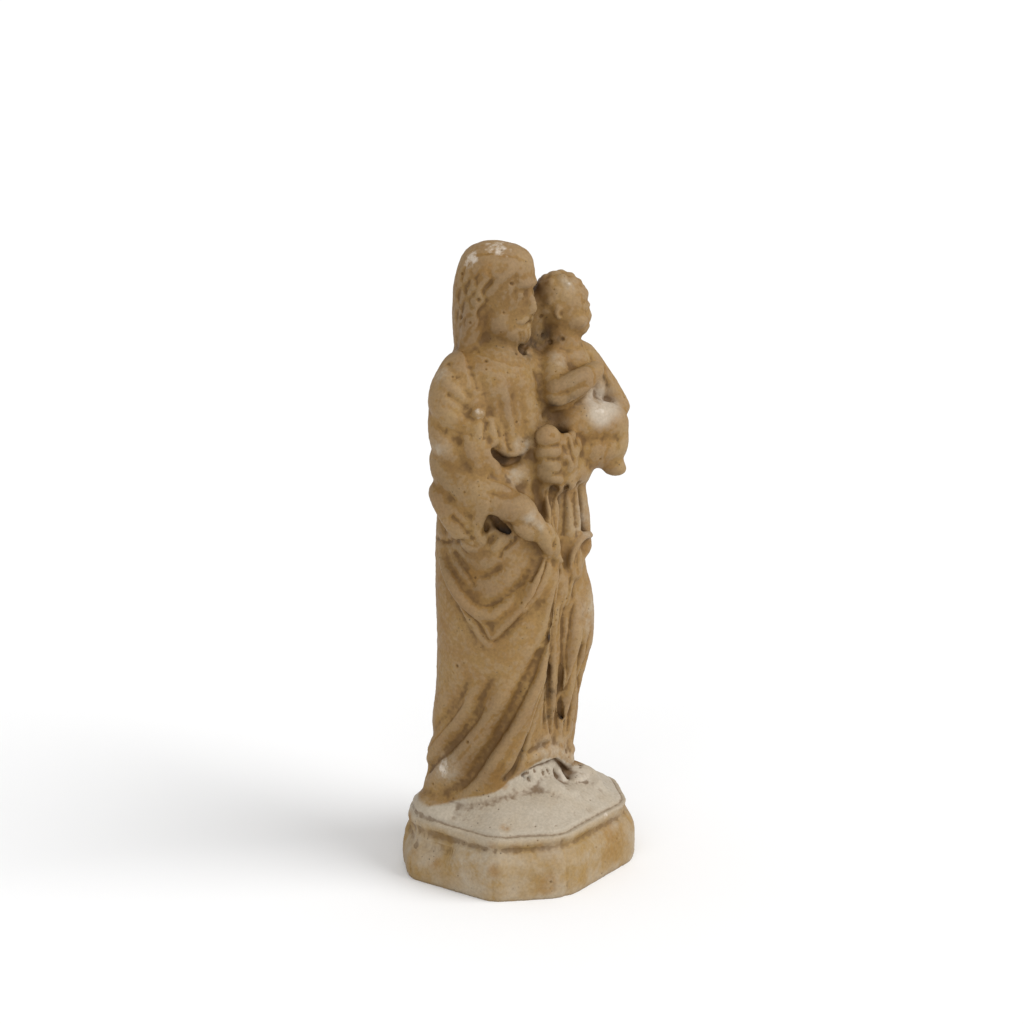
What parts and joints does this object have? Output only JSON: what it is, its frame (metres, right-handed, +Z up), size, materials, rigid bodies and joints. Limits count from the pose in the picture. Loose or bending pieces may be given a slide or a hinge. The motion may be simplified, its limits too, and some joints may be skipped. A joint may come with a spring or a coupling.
{
  "type": "devotional statuette",
  "caption": "Cast plaster statuette of a bearded robed figure carrying a child on the left arm, standing on a moulded plinth with cut corners.",
  "frame": {"origin": "middle of the plinth's underside", "axes": "+Z up, -Y towards the figure's front, +X towards the figure's left, the child's side"},
  "size_m": [0.062, 0.0524, 0.1689],
  "materials": {
    "patinated_plaster": "waxed cast plaster with a brown patina, rubbed pale on its edges"
  },
  "bodies": {
    "root": {"statuette": "patinated_plaster"}
  },
  "joints": []
}
